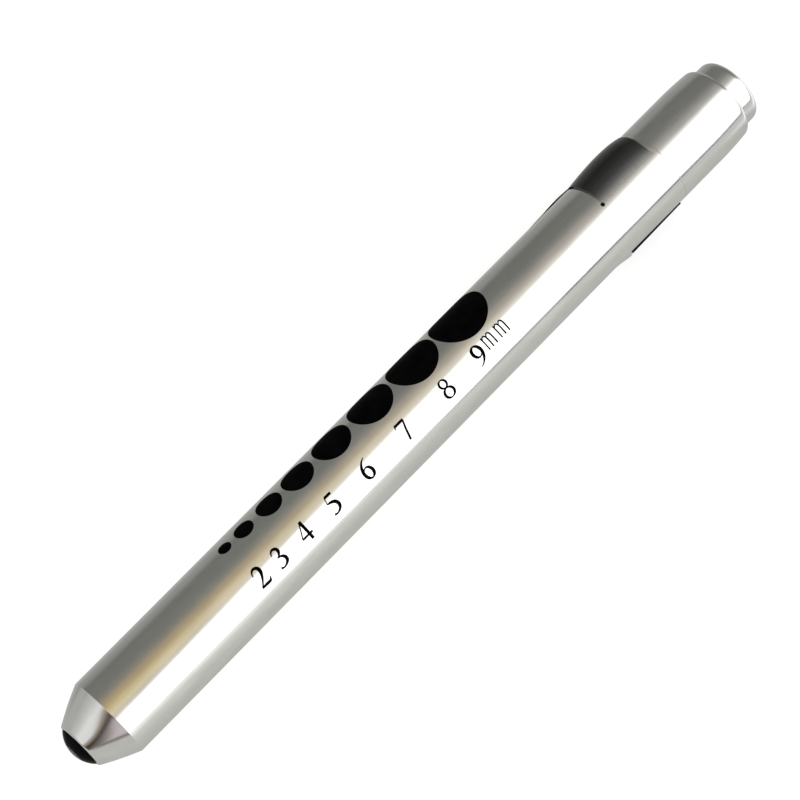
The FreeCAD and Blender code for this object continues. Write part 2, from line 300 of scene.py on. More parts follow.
CAP_STEEL = metal("cell_cap", (0.60, 0.59, 0.57), (0.72, 0.71, 0.69), (0.20, 0.32), 7000, 3, 0.08)
# painted shade: near-black metal laid on the clip band's free-edge side walls and inside the barrel's pits,
# standing in for the shade in the gap and the holes
PAINTED_SHADE_BLACK = metal("painted_shade_black", (0.010, 0.010, 0.011), (0.020, 0.020, 0.021), (0.40, 0.55), 7000, 4,
                     0.05)
NYLON = plastic("natural_nylon", (0.72, 0.70, 0.62), (0.84, 0.82, 0.75), (0.38, 0.52), 3500, 0.08,
                Subsurface_Weight=0.15, Subsurface_Scale=0.001)


def clip_material():
    """Dark spring sheet with painted sheen: its colour grows lighter towards the band's two free edges,
    standing in for the brighter reflection there.
    """
    shader = Shader("clip_sheet", Metallic=1.0)
    a = math.radians(CLIP_AT)
    reach = shader.node("Mapping", {
        "Vector": shader.coordinates, "Location": (0.0, -AXIS_Y, -AXIS_Z)}).outputs["Vector"]
    towards = shader.node("VectorMath", {0: reach, 1: (0.0, math.sin(a), math.cos(a))},
                          operation="DOT_PRODUCT").outputs["Value"]
    # painted sheen: the sheet's colour is lighter the further it turns from the clip's direction, towards the
    # free edges
    painted_sheen = shader.remap(towards, -BODY_R * MM, 0.0, 1.0, 0.0)
    grain = shader.noise(6000, 4.0, (1.0, 0.15, 0.15), 0.6)
    painted_sheen_and_grain = shader.math("ADD", painted_sheen, shader.remap(grain, 0.3, 0.7, -0.012, 0.012))
    shader.drive("Base Color", shader.tint(
        painted_sheen_and_grain, (0.0, (0.078, 0.079, 0.082)), (0.18, (0.128, 0.129, 0.135)), (0.35, (0.20, 0.203, 0.213)),
        (0.48, (0.36, 0.365, 0.385)), (0.57, (0.60, 0.605, 0.62)), (0.64, (0.80, 0.80, 0.80))))
    shader.drive("Roughness", shader.remap(grain, 0.3, 0.7, 0.16, 0.24))
    shader.bump(grain, 0.06, 0.00001)
    return shader.material


# ---------------------------------------------------------------- nose and barrel
DOME_R = 4.4
RIM_AT = 1.3
RIM_R = 3.1
RIM_ROUND = 0.5
CONE_ANGLE = 30.0
CONE_END = (6.4, 5.95)
CONE_BULGE = 0.08
MOUTH = (3.05, 2.6)          # radius, depth from the apex
THROAT = (3.6, 7.6)
BEZEL_R = 3.0
BEZEL_FLANGE = (2.62, 3.6, 3.5)
LAMP_R = 1.35
LAMP_BORE_R = 1.4
LAMP_FLANGE = (5.0, 5.9, 1.7)
CLIP_AT = 132.0
BAND_SPAN = 257.0
SEAT = (99.8, 110.3, 5.78)
SEAT_SPAN = BAND_SPAN + 0.6
TONGUE_SEAT_FROM = 97.0
TONGUE_SEAT_SPAN = 2 * math.degrees(math.asin(4.6 / BODY_R))
LUG = (96.7, 99.75, 0.42, 1.5)   # from, to, height, half width
LUG_CUT = 0.8                    # how far up its smooth ramp the lug is cut off
PIT = (100.0, 0.29, 0.42)        # station, radius, depth
PIT_FACES = (0.05, 0.15, 0.45)   # margin round the pit, and the depths between which its faces take painted shade
CORNER_FINE = (15.0, 80)         # degrees each side of the band's edge with fine columns, their number
EDGE = (0.04, 0.015)             # how each side of the joint is eased: length, depth
TINY = 0.004                     # which side of a step a row or column is read on


def dome(first_r, last_r, steps):
    """Points of the domed tip's sphere between two radii."""
    first, last = math.asin(first_r / DOME_R), math.asin(last_r / DOME_R)
    turns = spread(first, last, steps)
    return [(DOME_R * (1 - math.cos(a)), DOME_R * math.sin(a)) for a in turns]


def bowed(start, end, bulge, steps):
    """Points of a shallow arc between two (station, radius) points, bowing outwards by bulge."""
    run, rise = end[0] - start[0], end[1] - start[1]
    chord = math.hypot(run, rise)
    points = []
    for u in spread(0.0, 1.0, steps):
        lift = 4 * bulge * u * (1 - u)
        points.append((start[0] + run * u - lift * rise / chord, start[1] + rise * u + lift * run / chord))
    return points


def around(angle):
    """Degrees from the clip's direction, -180 to 180."""
    return (angle - CLIP_AT + 180) % 360 - 180


def skin(station, angle):
    """How far the barrel's surface stands above or below its straight wall."""
    off = abs(around(angle))
    depth = 0.0
    if SEAT[0] < station < SEAT[1] and off < SEAT_SPAN / 2:
        depth = SEAT[2] - BODY_R
    if TONGUE_SEAT_FROM < station <= SEAT[0] and off < TONGUE_SEAT_SPAN / 2:
        depth = SEAT[2] - BODY_R
    aside = BODY_R * math.radians(off - BAND_SPAN / 2)
    lug_from, lug_to, lug_height, lug_half = LUG
    if lug_from < station < lug_to and abs(aside) < lug_half and around(angle) > 0:
        rise = smooth_step((station - lug_from) / (lug_to - lug_from) * LUG_CUT)
        depth = lug_height * rise * smooth_step(1 - abs(aside) / lug_half)
    if math.hypot(station - PIT[0], aside) < PIT[1]:
        depth = -PIT[2]
    return depth


def barrel_columns():
    """Angles round the barrel, each with the angle its surface is read at. Step edges come twice."""
    steps = [SEAT_SPAN / 2, TONGUE_SEAT_SPAN / 2]
    corner = BAND_SPAN / 2
    fine = spread(corner - CORNER_FINE[0], corner + CORNER_FINE[0], CORNER_FINE[1])
    columns = [(CLIP_AT + 360 * j / SEGMENTS,) * 2 for j in range(SEGMENTS)]
    for side in (-1, 1):
        columns += [(CLIP_AT + side * a,) * 2 for a in fine]
        for a in steps:
            columns.append((CLIP_AT + side * a, CLIP_AT + side * (a - TINY)))
            columns.append((CLIP_AT + side * a, CLIP_AT + side * (a + TINY)))
    return sorted(columns, key=lambda column: (around(column[1]), around(column[0])))


def barrel_rows():
    """Rows of (station, radius, station its surface is read at) down the outside and back inside."""
    rim_turn = 90 - CONE_ANGLE
    rim = arc((RIM_AT + RIM_ROUND, RIM_R), RIM_ROUND, 180, 180 - rim_turn, 8)
    cone = bowed(rim[-1], CONE_END, CONE_BULGE, 14)
    end = JOINT_AT - JOINT_GAP
    rows = [(s, r, 0.0) for s, r in [(RIM_AT, MOUTH[0])] + rim + cone[1:]]
    plain = [CONE_END[0] + 0.05, CONE_END[0] + 0.2, 20.0, 40.0, 60.0, 80.0, 95.0, 96.5]
    plain += spread(96.8, 99.6, 35) + spread(99.65, 100.35, 28) + [100.4, 100.6, 100.8]
    plain += [103.0, 106.0, 109.0, 110.1, 110.42]
    outer = [(s, s) for s in plain]
    for s in (LUG[0], TONGUE_SEAT_FROM, LUG[1], SEAT[0], SEAT[1]):
        outer += [(s, s - TINY), (s, s + TINY)]
    rows += [(s, BODY_R, read) for s, read in sorted(outer, key=lambda row: row[1])]
    inside = [
        (end - EDGE[0], BODY_R), (end, BODY_R - EDGE[1]), (end, BORE_R), (THROAT[1], BORE_R),
        (THROAT[1], THROAT[0]), (MOUTH[1], THROAT[0]), (MOUTH[1], MOUTH[0]),
    ]
    return rows + [(s, r, 0.0) for s, r in inside]


def build_barrel():
    columns, rows = barrel_columns(), barrel_rows()
    points = [
        at(s, r + (skin(read, seen) if read else 0.0), a)
        for s, r, read in rows for a, seen in columns
    ]
    piece = finish_mesh("penlight_barrel", points, grid_faces(len(rows), len(columns)),
                        ALUMINIUM.material, 17)
    piece.data.materials.append(PAINTED_SHADE_BLACK.material)
    # painted shade: the faces inside each pit take the near-black material, standing in for the shade in the
    # hole
    pits = [at(PIT[0], BODY_R, CLIP_AT + side * BAND_SPAN / 2) for side in (-1, 1)]
    margin, least, most = PIT_FACES
    for face in piece.data.polygons:
        depth = BODY_R - math.hypot(face.center.y - AXIS_Y, face.center.z - AXIS_Z) / MM
        away = min((face.center - pit).length for pit in pits) / MM
        if least < depth < most and away ** 2 - depth ** 2 < (PIT[1] + margin) ** 2:
            face.material_index = 1
    return piece


def build_bezel():
    start, end, flange_r = BEZEL_FLANGE
    outline = dome(LAMP_BORE_R, BEZEL_R, 14)
    outline += [(start, BEZEL_R), (start, flange_r), (end, flange_r), (end, LAMP_BORE_R)]
    return lathe("nose_bezel", outline, BLACK.material, 128)


def build_lens():
    start, end, flange_r = LAMP_FLANGE
    outline = dome(0.0, LAMP_R, 12) + [(start, LAMP_R), (start, flange_r), (end, flange_r), (end, 0.0)]
    return lathe("lamp_lens", outline, LENS.material, 96)


def build_lamp_cup():
    """Small metal cup that holds the lamp's die inside the clear lens."""
    outline = [(3.0, 0.62), (2.95, 0.72), (3.4, 0.74), (3.8, 0.55), (4.9, 0.5), (4.9, 0.0), (3.55, 0.0),
               (3.5, 0.3), (3.2, 0.5)]
    return lathe("lamp_cup", outline, TINNED.material, 64)


def build_lamp_die():
    outline = [(3.1, 0.0), (3.12, 0.3), (3.18, 0.44), (3.22, 0.46), (3.48, 0.27), (3.48, 0.0)]
    return lathe("lamp_die", outline, PHOSPHOR.material, 48)


# ---------------------------------------------------------------- printed pupil gauge
INK_TOP = 6.012
INK_FOOT = 5.97
DOTS_AT = 42.9               # direction of the row of dots round the pen
NUMERALS_AT = -19.7
FIRST_DOT = 31.82
NUMERAL_SHIFT = 0.33
DOT_WIDTH = 0.965            # across the pen, against along it
DOT_SEGMENTS = 96
LAST_SHIFT = -2.5            # the last numeral makes room for the unit
UNIT_SHIFTS = (0.15, 2.52)
STROKE_LIFT = 0.0005         # how far each stroke lies above the one before
STROKE_STEPS = 5             # curve steps between the points of a stroke
LOOP_STEPS = 12
BOLD = (1.15, 0.007)         # how much heavier than drawn each stroke is
DOT_GAPS = (0.95, 1.10, 0.75, 0.80, 0.75, 0.45, 0.30)
NUMERAL_HEIGHT = 2.9
UNIT_HEIGHT = 2.0


def dot_stations():
    """Middle of each dot, from the 2 mm one to the 9 mm one."""
    station, places = FIRST_DOT, [FIRST_DOT]
    for size, gap in zip(range(2, 9), DOT_GAPS):
        station += size / 2 + gap + (size + 1) / 2
        places.append(station)
    return places


def on_barrel(station, middle, along, across, radius):
    return at(station + along, radius, middle + math.degrees(across / BODY_R))


def ink_shape(tops, feet, faces, rim):
    """Closed thin shape from its top points, its foot points, its top faces and its rim in order."""
    count = len(tops)
    shell = list(faces) + [tuple(i + count for i in reversed(face)) for face in faces]
    for i, j in zip(rim, rim[1:] + rim[:1]):
        shell.append((j, i, i + count, j + count))
    return tops + feet, shell


def dot_shape(station, size):
    segments, rings = DOT_SEGMENTS, max(3, round(size * 2))
    places = [(0.0, 0.0)]
    for k in range(1, rings + 1):
        for j in range(segments):
            a = math.tau * j / segments
            reach = size / 2 * k / rings
            places.append((reach * math.cos(a), DOT_WIDTH * reach * math.sin(a)))
    faces = [(0, 1 + j, 1 + (j + 1) % segments) for j in range(segments)]
    for k in range(rings - 1):
        first = 1 + k * segments
        for j in range(segments):
            j2 = (j + 1) % segments
            faces.append((first + j, first + segments + j, first + segments + j2, first + j2))
    rim = [1 + (rings - 1) * segments + j for j in range(segments)]
    tops = [on_barrel(station, DOTS_AT, x, y, INK_TOP) for x, y in places]
    feet = [on_barrel(station, DOTS_AT, x, y, INK_FOOT) for x, y in places]
    return ink_shape(tops, feet, faces, rim)


def line(*points):
    return {"points": points, "closed": False}


def loop(middle, radii, sides, ends):
    """Closed oval stroke, thicker at its sides than at its ends."""
    points = []
    for k in range(LOOP_STEPS):
        a = math.tau * k / LOOP_STEPS
        half = ends + (sides - ends) * abs(math.cos(a))
        points.append((middle[0] + radii[0] * math.cos(a), middle[1] + radii[1] * math.sin(a), half))
    return {"points": tuple(points), "closed": True}


def turned_over(strokes, width):
    return [
        {"points": tuple((width - x, 1 - y, h) for x, y, h in stroke["points"]), "closed": stroke["closed"]}
        for stroke in strokes
    ]


# strokes of (across, up, half width), where one is the numeral's height
SIX = [line((0.58, 0.99, 0.012), (0.36, 0.88, 0.03), (0.17, 0.66, 0.055), (0.09, 0.38, 0.065),
            (0.15, 0.14, 0.06), (0.32, 0.02, 0.03), (0.49, 0.12, 0.06), (0.54, 0.32, 0.065),
            (0.46, 0.52, 0.05), (0.30, 0.58, 0.025), (0.13, 0.48, 0.02))]
NUMERALS = {
    "2": [line((0.05, 0.70, 0.012), (0.12, 0.88, 0.03), (0.28, 0.96, 0.05), (0.44, 0.88, 0.065),
               (0.47, 0.70, 0.07), (0.38, 0.48, 0.05), (0.22, 0.25, 0.03), (0.06, 0.06, 0.02)),
          line((0.03, 0.05, 0.045), (0.30, 0.05, 0.055), (0.52, 0.05, 0.055), (0.60, 0.12, 0.03),
               (0.645, 0.22, 0.012))],
    "3": [line((0.08, 0.76, 0.012), (0.16, 0.90, 0.03), (0.30, 0.965, 0.045), (0.45, 0.88, 0.06),
               (0.46, 0.72, 0.06), (0.34, 0.57, 0.03), (0.22, 0.53, 0.015)),
          line((0.22, 0.53, 0.012), (0.40, 0.50, 0.04), (0.53, 0.36, 0.065), (0.52, 0.18, 0.065),
               (0.36, 0.05, 0.04), (0.18, 0.02, 0.03), (0.05, 0.08, 0.05))],
    "4": [line((0.42, 0.98, 0.02), (0.03, 0.30, 0.02)), line((0.02, 0.29, 0.04), (0.64, 0.29, 0.04)),
          line((0.45, 1.0, 0.06), (0.45, 0.0, 0.06))],
    "5": [line((0.20, 0.93, 0.05), (0.58, 0.93, 0.05)), line((0.20, 0.95, 0.015), (0.10, 0.62, 0.015)),
          line((0.10, 0.62, 0.02), (0.28, 0.60, 0.05), (0.48, 0.48, 0.07), (0.53, 0.28, 0.07),
               (0.42, 0.10, 0.05), (0.22, 0.02, 0.03), (0.05, 0.06, 0.045))],
    "6": SIX,
    "7": [line((0.05, 0.93, 0.05), (0.60, 0.93, 0.05)), line((0.03, 0.78, 0.012), (0.06, 0.93, 0.02)),
          line((0.58, 0.93, 0.03), (0.40, 0.50, 0.04), (0.26, 0.0, 0.045))],
    "8": [loop((0.31, 0.27), (0.25, 0.25), 0.055, 0.02), loop((0.31, 0.75), (0.19, 0.20), 0.045, 0.02)],
    "9": turned_over(SIX, 0.64),
    "m": [line((0.06, 0.0, 0.04), (0.06, 1.0, 0.04)),
          line((0.06, 0.74, 0.02), (0.16, 0.92, 0.035), (0.28, 0.97, 0.04), (0.39, 0.86, 0.045),
               (0.42, 0.65, 0.045), (0.42, 0.30, 0.045), (0.42, 0.0, 0.045)),
          line((0.42, 0.74, 0.02), (0.52, 0.92, 0.035), (0.64, 0.97, 0.04), (0.75, 0.86, 0.045),
               (0.78, 0.65, 0.045), (0.78, 0.30, 0.045), (0.78, 0.0, 0.045))],
}
NUMERAL_MIDDLE = 0.32
UNIT_MIDDLE = 0.42


def stroke_shape(stroke, station, height, middle, base, lift):
    """One pen stroke laid on the barrel. base is the across-barrel place of the numeral's foot."""
    closed = stroke["closed"]
    path = through(stroke["points"], STROKE_STEPS, closed)
    count = len(path)
    left, right = [], []
    for i, (x, y, drawn) in enumerate(path):
        half = drawn * BOLD[0] + BOLD[1]
        before = path[i - 1] if closed or i else path[i]
        after = path[(i + 1) % count] if closed or i < count - 1 else path[i]
        dx, dy = after[0] - before[0], after[1] - before[1]
        size = math.hypot(dx, dy)
        nx, ny = -dy / size * half, dx / size * half
        left.append((x + nx, y + ny))
        right.append((x - nx, y - ny))
    places = [((x - middle) * height, base + y * height) for x, y in left + right]
    last = count if closed else count - 1
    faces = [(i, count + i, count + (i + 1) % count, (i + 1) % count) for i in range(last)]
    tops = [on_barrel(station, NUMERALS_AT, x, y, INK_TOP + lift) for x, y in places]
    feet = [on_barrel(station, NUMERALS_AT, x, y, INK_FOOT) for x, y in places]
    if not closed:
        rim = list(range(count - 1, -1, -1)) + [count + i for i in range(count)]
        return ink_shape(tops, feet, faces, rim)
    points, shell = ink_shape(tops, feet, faces, [])
    for first in (0, count):
        for i in range(count):
            j = (i + 1) % count
            a, b = first + i, first + j
            side = (a, b, b + 2 * count, a + 2 * count)
            shell.append(side if first == 0 else tuple(reversed(side)))
    return points, shell


def ink_mesh(name, shapes):
    points, faces = [], []
    for shape_points, shape_faces in shapes:
        start = len(points)
        points += shape_points
        faces += [tuple(i + start for i in face) for face in shape_faces]
    return finish_mesh(name, points, faces, INK.material, 40)


def build_gauge():
    dots, numerals = [], []
    for size, station in zip(range(2, 10), dot_stations()):
        dots.append(dot_shape(station, size))
        shift = NUMERAL_SHIFT + (LAST_SHIFT if size == 9 else 0.0)
        for k, stroke in enumerate(NUMERALS[str(size)]):
            numerals.append(stroke_shape(stroke, station + shift, NUMERAL_HEIGHT, NUMERAL_MIDDLE,
                                         -NUMERAL_HEIGHT / 2, STROKE_LIFT * k))
    unit = []
    for shift in UNIT_SHIFTS:
        for k, stroke in enumerate(NUMERALS["m"]):
            unit.append(stroke_shape(stroke, dot_stations()[-1] + shift, UNIT_HEIGHT, UNIT_MIDDLE,
                                     NUMERAL_HEIGHT / 2 - UNIT_HEIGHT, STROKE_LIFT * k))
    return [ink_mesh("gauge_dots", dots), ink_mesh("gauge_numerals", numerals), ink_mesh("gauge_unit", unit)]


# ---------------------------------------------------------------- clip
SHEET = 0.33
SEAT_CLEAR = 0.02                # least gap between the band and the floor of its seat
CURVE_STEPS = 12                 # curve steps between the points of a profile
BAND_OUTER = ((100.2, 6.13), (102.6, 6.36), (105.6, 6.52), (108.4, 6.43), (110.1, 6.16))
TONGUE_INNER = ((100.2, 5.80), (99.4, 5.92), (97.6, 6.38), (93.0, 6.86), (86.0, 7.06), (79.0, 6.78),
                (75.0, 6.32), (73.4, 6.22), (71.6, 6.52), (70.0, 7.02))
TONGUE_HALF_WIDTHS = ((100.2, 4.6), (99.4, 4.22), (98.7, 3.75), (98.0, 3.34), (96.0, 2.68), (93.0, 2.16),
                      (90.0, 1.95), (86.0, 1.85), (74.0, 1.8), (70.0, 1.75))
TONGUE_TIP_R = 1.75
FIRST_EDGE_R = 6.07              # the band lies flush in its seat at its first free edge
FIRST_EDGE_FROM = 80.0           # degrees from the clip's direction at which it begins to flatten
SECOND_EDGE_OUTER = ((100.2, 6.28), (110.1, 6.17))
SECOND_EDGE_FROM = 95.0
TONGUE_TIP = 70.0
TONGUE_LEAST_HALF = 0.25
TONGUE_FLARED_TO = 90.0          # stations between which the tongue's rows are spaced alike
TONGUE_ROUND_FROM = 72.0
EDGE_SINE = 0.8                  # how far a face is turned from the sheet's own to take the painted shade of its edge
FIRST_EDGE_COSINE = 0.99         # faces this near the first free edge keep the sheet's colour, without painted shade


def curve_at(points, station):
    """Value at a station on a smooth curve through (station, value) points."""
    curve = sorted(through(points, CURVE_STEPS))
    for (s0, r0), (s1, r1) in zip(curve, curve[1:]):
        if station <= s1:
            return r0 + (r1 - r0) * (station - s0) / (s1 - s0)
    return curve[-1][1]


def straight_at(points, station):
    ordered = sorted(points)
    for (s0, w0), (s1, w1) in zip(ordered, ordered[1:]):
        if station <= s1:
            return w0 + (w1 - w0) * (station - s0) / (s1 - s0)
    return ordered[-1][1]


def tongue_half_width(station):
    width = straight_at(TONGUE_HALF_WIDTHS, station)
    into = station - TONGUE_TIP
    if into < TONGUE_TIP_R:
        round_width = math.sqrt(max(TONGUE_TIP_R ** 2 - (TONGUE_TIP_R - into) ** 2, 0.0))
        width = min(width, round_width)
    return max(width, TONGUE_LEAST_HALF)


def build_clip():
    """Band and tongue as one sheet. Both share the row of points where the tongue leaves the band."""
    root_r = BAND_OUTER[0][1]
    root_half = math.degrees(math.asin(TONGUE_HALF_WIDTHS[0][1] / root_r))
    side = spread(root_half, BAND_SPAN / 2, 64)
    across = spread(-1.0, 1.0, 20)
    root = [math.degrees(math.asin(u * TONGUE_HALF_WIDTHS[0][1] / root_r)) for u in across]
    band_angles = [-a for a in reversed(side)][:-1] + root + side[1:]
    band_stations = spread(BAND_OUTER[0][0], BAND_OUTER[-1][0], 24)
    tongue_stations = spread(TONGUE_HALF_WIDTHS[0][0], TONGUE_FLARED_TO, 24)
    tongue_stations += spread(TONGUE_FLARED_TO, TONGUE_ROUND_FROM, 20)[1:]
    rounded = TONGUE_ROUND_FROM - TONGUE_TIP
    tongue_stations += [TONGUE_ROUND_FROM - rounded * math.sin(a) for a in spread(0.0, math.pi / 2, 10)[1:]]

    outer, inner, faces = [], [], []
    for s in band_stations:
        bowed_r = curve_at(BAND_OUTER, s)
        for a in band_angles:
            if a < 0:
                flat_r, flat_from = FIRST_EDGE_R, FIRST_EDGE_FROM
            else:
                flat_r, flat_from = straight_at(SECOND_EDGE_OUTER, s), SECOND_EDGE_FROM
            flatness = smooth_step((abs(a) - flat_from) / (BAND_SPAN / 2 - flat_from))
            r = bowed_r + (flat_r - bowed_r) * flatness
            outer.append(at(s, r, CLIP_AT + a))
            inner.append(at(s, max(r - SHEET, SEAT[2] + SEAT_CLEAR), CLIP_AT + a))
    columns = len(band_angles)
    faces += grid_faces(len(band_stations), columns, False, False)
    root_first = columns // 2 - len(across) // 2
    previous = [root_first + k for k in range(len(across))]
    for s in tongue_stations[1:]:
        r = curve_at(TONGUE_INNER, s)
        half = tongue_half_width(s)
        row = []
        for u in across:
            row.append(len(outer))
            a = math.degrees(math.asin(u * half / (r + SHEET / 2)))
            outer.append(at(s, r + SHEET, CLIP_AT + a))
            inner.append(at(s, r, CLIP_AT + a))
        for k in range(len(across) - 1):
            faces.append((previous[k], previous[k + 1], row[k + 1], row[k]))
        previous = row

    count = len(outer)
    used = {}
    for face in faces:
        for i, j in zip(face, face[1:] + face[:1]):
            used.setdefault(frozenset((i, j)), []).append((i, j))
    shell = faces + [tuple(i + count for i in reversed(face)) for face in faces]
    for pair in used.values():
        if len(pair) == 1:
            i, j = pair[0]
            shell.append((j, i, i + count, j + count))
    piece = finish_mesh("pocket_clip", outer + inner, shell, clip_material(), 35)
    piece.data.materials.append(PAINTED_SHADE_BLACK.material)
    # painted shade: side walls along the band's free edges take the near-black material, standing in for the
    # shaded gap under the band
    first_angle = math.radians(CLIP_AT - BAND_SPAN / 2)
    first_edge = Vector((0.0, math.sin(first_angle), math.cos(first_angle)))
    for face in piece.data.polygons:
        out = Vector((0.0, face.center.y - AXIS_Y, face.center.z - AXIS_Z)).normalized()
        if abs(out.cross(face.normal).x) > EDGE_SINE and out.dot(first_edge) < FIRST_EDGE_COSINE:
            face.material_index = 1
    return piece


# ---------------------------------------------------------------- tail
SLEEVE_END = 124.5
SLEEVE_TAPER = (119.5, 123.5, 5.8)   # from, to, radius at its end
TAPER_START = (0.5, 0.002, 0.03)     # row before the taper, first drop in radius, how far it bows out
SLEEVE_LIP = (5.06, 0.20)            # radius of the lip's end, how far it bows out
SLEEVE_BORE_R = 5.35
LEDGE = (122.55, 5.04)
BUTTON_R = 5.0
BUTTON_ROUND = 1.3
BUTTON_FLANGE = (121.6, 122.5, 5.25)
BUTTON_HOLLOW = (126.2, 4.2)
BUTTON_STEM = (120.3, 1.5)
COLLAR = (105.3, 110.7, 118.3)
COLLAR_BORE_R = 4.5
COLLAR_R = 5.32
COLLAR_SEGMENTS = 128
COLLAR_ROWS = 72
THREAD_R = (5.15, 5.42)
THREAD_PITCH = 1.0
THREAD_RIDGE = (0.16, 0.9)       # how wide its flank and its root are, in pitches and flanks
THREAD_FADE = (0.5, 0.3)         # length over which it dies out, plain length at its end
BUTTON_SPRING = (112.45, 119.85, 2.3, 2.6, 0.25, 5.5)   # from, to, radius at each end, wire radius, turns


def build_sleeve():
    outline = [(JOINT_AT, SLEEVE_BORE_R), (JOINT_AT, BODY_R - EDGE[1]), (JOINT_AT + EDGE[0], BODY_R)]
    before, drop, bow = TAPER_START
    outline.append((SLEEVE_TAPER[0] - before, BODY_R))
    outline += bowed((SLEEVE_TAPER[0], BODY_R - drop), SLEEVE_TAPER[1:], bow, 8)[:-1]
    outline += bowed(SLEEVE_TAPER[1:], (SLEEVE_END, SLEEVE_LIP[0]), SLEEVE_LIP[1], 10)
    outline += [(SLEEVE_END, LEDGE[1]), (LEDGE[0], LEDGE[1]), (LEDGE[0], SLEEVE_BORE_R)]
    return lathe("tail_cap_sleeve", outline, TAIL_METAL.material)


def build_button():
    outline = [
        (BUTTON_STEM[0], 0.0), BUTTON_STEM, (BUTTON_HOLLOW[0], BUTTON_STEM[1]), BUTTON_HOLLOW,
        (BUTTON_FLANGE[0], BUTTON_HOLLOW[1]), (BUTTON_FLANGE[0], BUTTON_FLANGE[2]),
        (BUTTON_FLANGE[1], BUTTON_FLANGE[2]), (BUTTON_FLANGE[1], BUTTON_R),
    ]
    outline += arc((LENGTH - BUTTON_ROUND, BUTTON_R - BUTTON_ROUND), BUTTON_ROUND, 90, 0, 12)
    outline.append((LENGTH, 0.0))
    return lathe("tail_push_button", outline, BUTTON_METAL.material)


def thread_depth(station, angle):
    """Radius of the collar's helical thread, which dies out at both ends of the threaded part."""
    root_r, crest_r = THREAD_R
    phase = ((station - COLLAR[0]) / THREAD_PITCH - angle / 360) % 1.0
    flank, root = THREAD_RIDGE
    ridge = smooth_step((0.5 - abs(phase - 0.5)) / flank - root)
    length, plain = THREAD_FADE
    fade = smooth_step((station - COLLAR[0]) / length) * smooth_step((COLLAR[1] - plain - station) / length)
    return root_r + (crest_r - root_r) * ridge * fade


def build_collar():
    segments = COLLAR_SEGMENTS
    rows = []
    for s in spread(COLLAR[0], COLLAR[1], COLLAR_ROWS):
        rows.append([(s, thread_depth(s, 360 * j / segments)) for j in range(segments)])
    plain = [(COLLAR[1], COLLAR_R), (COLLAR[2], COLLAR_R)]
    plain += [(COLLAR[2], COLLAR_BORE_R), (COLLAR[0], COLLAR_BORE_R)]
    rows += [[place] * segments for place in plain]
    points = [at(s, r, 360 * j / segments) for row in rows for j, (s, r) in enumerate(row)]
    return finish_mesh("screw_collar", points, grid_faces(len(rows), segments), BRASS.material, 40)


def build_button_spring():
    """Coil spring with half a flat turn at each end."""
    start, end, first_r, last_r, wire_r, turns = BUTTON_SPRING
    steps, sides = 330, 12
    flat = 0.5 / turns
    points = []
    for u in spread(0.0, 1.0, steps):
        climb = min(max((u - flat) / (1 - 2 * flat), 0.0), 1.0)
        s = start + wire_r + (end - start - 2 * wire_r) * climb
        r = first_r + (last_r - first_r) * climb
        for b in spread(0.0, math.tau, sides)[:-1]:
            points.append(at(s + wire_r * math.cos(b), r + wire_r * math.sin(b), 360 * turns * u))
    faces = grid_faces(steps + 1, sides, False, True)
    last = steps * sides
    faces += [tuple(range(sides)), tuple(range(last, last + sides))]
    return finish_mesh("button_return_spring", points, faces, TINNED.material)


# ---------------------------------------------------------------- place every piece on its body
def on_body(piece, body, slot_name, *nodes):
    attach(piece, body)
    if nodes:
        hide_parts(*nodes)


on_body(build_barrel(), "barrel", "polished_aluminium", "barrel")
on_body(build_bezel(), "barrel", "black_plastic", "lens_bezel")
on_body(build_lens(), "barrel", "clear_lens", "led_lens")
on_body(build_lamp_cup(), "barrel", "tinned_metal")
on_body(build_lamp_die(), "barrel", "")
for mark in build_gauge():
    on_body(mark, "barrel", "")
on_body(build_sleeve(), "tail_cap", "polished_aluminium", "tail_sleeve")
on_body(build_collar(), "tail_cap", "brass_contact", "threaded_collar")
on_body(build_button(), "button", "polished_aluminium", "tail_button")

spring = build_button_spring()
on_body(spring, "tail_cap", "tinned_metal", "button_spring")
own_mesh(spring)

clip = build_clip()
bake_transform(clip)
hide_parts("clip_band", "clip_tongue")

INNER_LOOKS = {
    "led_holder": HOLDER_BLACK, "led_leads": TINNED, "lamp_board": BOARD_GREEN, "ground_ring": TINNED,
    "series_resistor": RESISTOR_BLACK, "positive_contact": BRASS, "cell_liner": PAPER,
    "front_cell_can": JACKET, "front_cell_seal": SEAL, "front_cell_cap": CAP_STEEL,
    "rear_cell_can": JACKET, "rear_cell_seal": SEAL, "rear_cell_cap": CAP_STEEL,
    "battery_spring": TINNED, "switch_housing": NYLON, "spring_seat": TINNED, "switch_plate": BRASS,
}
for name, look in INNER_LOOKS.items():
    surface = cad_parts[name].data.materials
    surface.clear()
    surface.append(look.material)


# ---------------------------------------------------------------- floor
FLOOR_HALF = 4.0
FLOOR_DROP = 0.00002         # keeps the floor just clear of the pen
FLOOR_REACH = 0.13           # metres each side of the pen over which the reflected colours run
PAST_NOSE = (-0.068, -0.062)     # metres along the pen over which they change past each end
PAST_TAIL = (0.068, 0.080)


def build_floor():
    corners = [(-FLOOR_HALF, -FLOOR_HALF, 0), (FLOOR_HALF, -FLOOR_HALF, 0)]
    corners += [(FLOOR_HALF, FLOOR_HALF, 0), (-FLOOR_HALF, FLOOR_HALF, 0)]
    mesh = bpy.data.meshes.new("floor")
    mesh.from_pydata(corners, [], [(0, 1, 2, 3)])
    floor = bpy.data.objects.new("floor", mesh)
    bpy.context.scene.collection.objects.link(floor)
    floor.location.z = -FLOOR_DROP
    return floor


